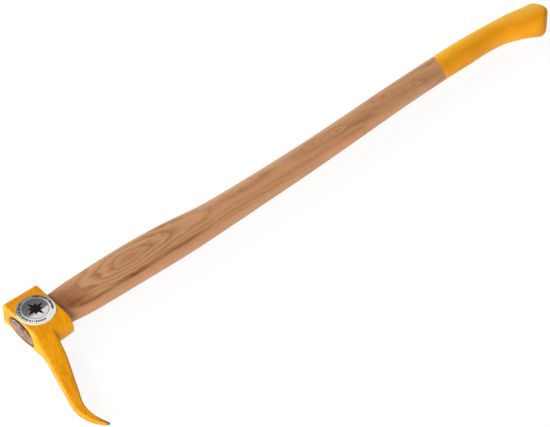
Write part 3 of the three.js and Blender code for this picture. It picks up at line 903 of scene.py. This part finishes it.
def makeHandle():
    sides, gap, rounded = handle["sides"], handle["seatGap"], handle["endRound"]
    turn = turnsOf(sides)
    soft = rounded * 0.3
    rings = [eyeRing(tongueEnd, gap + rounded, sides), eyeRing(tongueEnd + soft, gap + soft, sides)]
    rings += [eyeRing(x, gap, sides) for x in np.linspace(tongueEnd + rounded, rearFace, 10)[:-1]]
    rings += [handlePoint(x, 0, turn) for x in np.linspace(rearFace, coatAt, handle["bareSteps"] + 1)]
    skin, hub = gripSkin([0.0])
    underCoat = coat["proud"] - coat["wall"] - gap
    rings += list(movedOut(skin, hub, underCoat))
    ends = (rings[0].mean(axis=0), hub + (underCoat, 0, 0))
    made = meshObject("hickoryHandle", *loft(rings, ends), hickoryMaterial())
    tidyFaces(made)
    for tool in (wedgeSlot(), ringPocket()):
        tidyFaces(tool)
        carve(made, tool, "DIFFERENCE")
    tidyFaces(made, handle["smoothAngle"])
    return made


def dipSkinTree(material):
    # two copies of the skin, one under the surface and one above it, that meet at the lip
    tree, start = startTree("dipSkin", {"Inner": "NodeSocketFloat", "Outer": "NodeSocketFloat"})
    inner, outer = start.other("Inner"), start.other("Outer")
    normal = Wire.node("GeometryNodeInputNormal")
    below, above = [Wire.node("GeometryNodeSetPosition", inputs={
        "Geometry": start, "Offset": scaled(normal, offset)})
        for offset in (inner, inner + (outer - inner) * storedValue("lip"))]
    below = Wire.node("GeometryNodeFlipFaces", inputs={"Mesh": below})
    both = Wire.node("GeometryNodeJoinGeometry", inputs={"Geometry": [below, above]})
    welded = Wire.node("GeometryNodeMergeByDistance", inputs={"Geometry": both, "Distance": 1e-6})
    finishTree(welded, material)
    return tree


def makeCoat():
    lipRows = [coat["run"] * share for share in coat["lipShares"]]
    skin, hub = gripSkin(lipRows)
    points, faces = loft(skin, (hub, hub))
    faces = [face for face in faces if len(points) - 2 not in face]  # open where it starts
    made = meshObject("gripCoating", points, faces)
    lip = np.ones(len(points))
    count = handle["sides"]
    for row, at in enumerate(lipRows):  # flush with the wood at first, then it thickens
        full = lerp(coat["flush"], 1.0, ease(at / coat["run"]))
        lip[row * count:(row + 1) * count] = full if row else 0.0
    storeValues(made.data, "lip", lip)
    runTree(made, dipSkinTree(dipCoatMaterial()), {
        "Inner": (coat["proud"] - coat["wall"]) * mm, "Outer": coat["proud"] * mm})
    tidyFaces(made, handle["smoothAngle"])
    return made


handlePiece = makeHandle()
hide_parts("handle")
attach(handlePiece, "root")
gripCoating = makeCoat()
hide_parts("grip_coating")
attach(gripCoating, "root")
print("handle and coating made:", len(handlePiece.data.polygons), len(gripCoating.data.polygons), "faces")


# wedges stay as the frame has them and get their finishes

wedges = {
    "woodDark": (0.120, 0.055, 0.036), "woodLight": (0.300, 0.180, 0.135), "rust": (0.24, 0.12, 0.09),
    "steelDark": (0.26, 0.20, 0.21), "steelLight": (0.52, 0.45, 0.46),
}


def wedgeWoodMaterial():
    material = startMaterial("wedgeWood")
    place = placeInMm()
    lines = grit(place, (9.0, 3.0, 0.35), 3.0, 0.6)
    blot = grit(place, (5.0, 5.0, 3.0))
    colour = blendColour(rise(lines + blot * 0.5, -0.2, 0.2), wedges["woodDark"], wedges["woodLight"])
    finishMaterial({"Base Color": colour, "Roughness": 0.72 + lines * 0.2}, lines, 0.12, 0.8)
    return material


def wedgeSteelMaterial():
    material = startMaterial("wedgeSteel")
    place = placeInMm()
    scratch = grit(place, (0.5, 0.2, 2.2), 3.0, 0.7)
    rust = rise(grit(place, 1.6, 3.0), 0.08, 0.2)
    colour = blendColour(scratch + 0.5, wedges["steelDark"], wedges["steelLight"])
    colour = blendColour(rust * 0.8, colour, wedges["rust"])
    finishMaterial({"Base Color": colour, "Metallic": 0.5 - rust * 0.4, "Roughness": 0.55 + rust * 0.3},
                   scratch - rust * 0.5, 0.06, 0.7)
    return material


for node, finish in (("wooden_wedge", wedgeWoodMaterial()), ("steel_wedge", wedgeSteelMaterial())):
    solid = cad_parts[node]
    if not solid.material_slots:
        solid.data.materials.append(finish)
    for slot in solid.material_slots:
        slot.material = finish
print("wedges finished")


# label: a foil disc with plain ink marks

def foilMaterial():
    material = startMaterial("foil")
    place = x, y, _ = placeInMm()
    aside, upward = x - label["printMiddle"][0], y - label["printMiddle"][1]
    brushed = grit(place, (0.25, 5.0, 1.0))
    crease = grit(place, 6.0, 3.0)
    inside = 1 - rise(apart(aside, upward), label["lineRadius"] - 0.3, label["lineRadius"])
    # painted reflection: the band and the field go from dark to light across a diagonal, over their printed
    # colours, with a paler painted reflection in one corner
    lean = aside * 0.09 - upward * 0.996 + crease * 3.0
    corner = (1 - rise(aside + upward * 0.5, -10.0, -2.0)) * rise(upward * -1.0, 0.0, 7.0)
    field = blendColour(rise(lean, -14.0, 3.0), label["fieldDark"], label["fieldMidReflection"])
    field = layered(field, (corner, label["fieldCornerReflection"]), (rise(lean, 4.0, 6.5), label["fieldReflection"]))
    band = blendColour(rise(lean, -12.0, 10.0), label["bandDark"], label["bandReflection"])
    bent = 1 - rise(x, frontFace + 2.5, frontFace + 2.8)  # a painted highlight where it bends over the edge
    colour = layered(band, (inside, field), (bent, label["bent"]))
    finishMaterial({"Base Color": colour, "Metallic": 0.3, "Roughness": 0.34 + brushed * 0.15},
                   crease * 2.0 + brushed * 0.3, 0.05, 0.5)
    return material


def inkMaterial():
    material = startMaterial("ink")
    worn = grit(placeInMm(), 0.4, 3.0, 0.7)
    colour = blendColour(rise(worn, 0.1, 0.3), label["ink"], label["inkWorn"])
    finishMaterial({"Base Color": colour, "Roughness": 0.6 + worn * 0.3, "Specular IOR Level": 0.15},
                   worn, 0.01, 0.5)
    return material


def labelRing(radius, z, middle="middle"):
    turn = turnsOf(label["sides"])
    x = label[middle][0] + radius * np.cos(turn)
    fall = drawnIn(label["bendRadius"], np.maximum(x - frontFace, 0))  # it bends over the front edge
    return np.stack([x, label[middle][1] + radius * np.sin(turn), z - fall], axis=1)


def makeLabel():
    low, radius, rounded = head["thickness"], label["radius"], label["edgeRound"]
    top = low + label["thickness"]
    rings = [labelRing(radius, low)]
    for turn in np.array((0.0, 0.35, 0.7, 1.0)) * np.pi / 2:
        rings.append(labelRing(radius - rounded * (1 - math.cos(turn)), top - rounded * (1 - math.sin(turn))))
    rings += [labelRing(radius * share, top) for share in (*np.linspace(0.98, 0.9, 5), 0.6, 0.3)]
    made = meshObject("headLabel", *loft(rings), foilMaterial())
    tidyFaces(made, label["smoothAngle"])
    return made


def inkTree(material):
    # dashes on the loose points, turned to the middle of the label, beside the printed shapes
    tree, start = startTree("inkMarks", {"Length": "NodeSocketFloat", "Width": "NodeSocketFloat",
                                         "Thickness": "NodeSocketFloat", "Seed": "NodeSocketInt"})
    isTick = storedValue("tick").math("GREATER_THAN", 0.5)
    split = Wire.node("GeometryNodeSeparateGeometry", {"domain": "POINT"},
                      {"Geometry": start, "Selection": isTick})
    size = Wire.node("ShaderNodeCombineXYZ", inputs={
        0: start.other("Length"), 1: start.other("Width"), 2: start.other("Thickness")})
    dash = Wire.node("GeometryNodeMeshCube", inputs={"Size": size}, output="Mesh")
    rotation = Wire.node("ShaderNodeCombineXYZ", inputs={2: storedValue("turn")})
    least, most = label["tickStretch"]
    stretch = Wire.node("FunctionNodeRandomValue", {"data_type": "FLOAT_VECTOR"}, {
        0: least, 1: most, "Seed": start.other("Seed")})
    dashes = Wire.node("GeometryNodeInstanceOnPoints", inputs={
        "Points": split, "Instance": dash, "Rotation": rotation, "Scale": stretch})
    both = Wire.node("GeometryNodeJoinGeometry", inputs={"Geometry": [dashes, split.other("Inverted")]})
    finishTree(both, material)
    return tree


def makeInk():
    low = head["thickness"] + label["thickness"]
    top = low + label["inkThickness"]
    middleX, middleY = label["printMiddle"]
    outer, inner = label["lineRadius"], label["lineRadius"] - label["lineWidth"]
    points, faces = loft([labelRing(radius, z, "printMiddle") for radius, z in (
        (outer, low), (outer, top), (inner, top), (inner, low), (outer, low))], False)
    points = points.tolist()
    # a plain rosette: eight tapered rays, long and short by turns
    foot, longRay, shortRay, halfFoot, halfTip = label["rays"]
    flat = []
    for i in range(8):
        angle, reach = math.pi / 4 * i + label["rayTurn"], (longRay, shortRay)[i % 2]
        for radius, spread in ((foot, -halfFoot), (reach, -halfTip), (reach, halfTip), (foot, halfFoot)):
            side = angle + spread / radius
            flat.append((middleX + radius * math.cos(side), middleY + radius * math.sin(side)))
    start, count = len(points), len(flat)
    points += [(x, y, z) for z in (low, top) for x, y in flat]
    faces += [tuple(reversed(range(start, start + count))), tuple(range(start + count, start + 2 * count))]
    for i in range(count):
        here, after = start + i, start + (i + 1) % count
        faces.append((here, after, after + count, here + count))
    tick, turn = [0.0] * len(points), [0.0] * len(points)
    for fromAngle, toAngle, howMany in label["tickGroups"]:
        for angle in np.radians(np.linspace(fromAngle, toAngle, howMany)):
            points.append((middleX + label["tickRadius"] * math.cos(angle),
                           middleY + label["tickRadius"] * math.sin(angle), (low + top) / 2))
            tick.append(1.0)
            turn.append(angle)
    made = meshObject("labelInk", points, faces)
    storeValues(made.data, "tick", tick)
    storeValues(made.data, "turn", turn)
    runTree(made, inkTree(inkMaterial()), {
        "Length": label["tickSize"][0] * mm, "Width": label["tickSize"][1] * mm,
        "Thickness": label["inkThickness"] * mm, "Seed": label["seed"]})
    tidyFaces(made, label["inkAngle"])
    return made


headLabel = makeLabel()
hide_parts("head_label")
labelInk = makeInk()
for piece in (headLabel, labelInk):
    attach(piece, "root")
print("label made")
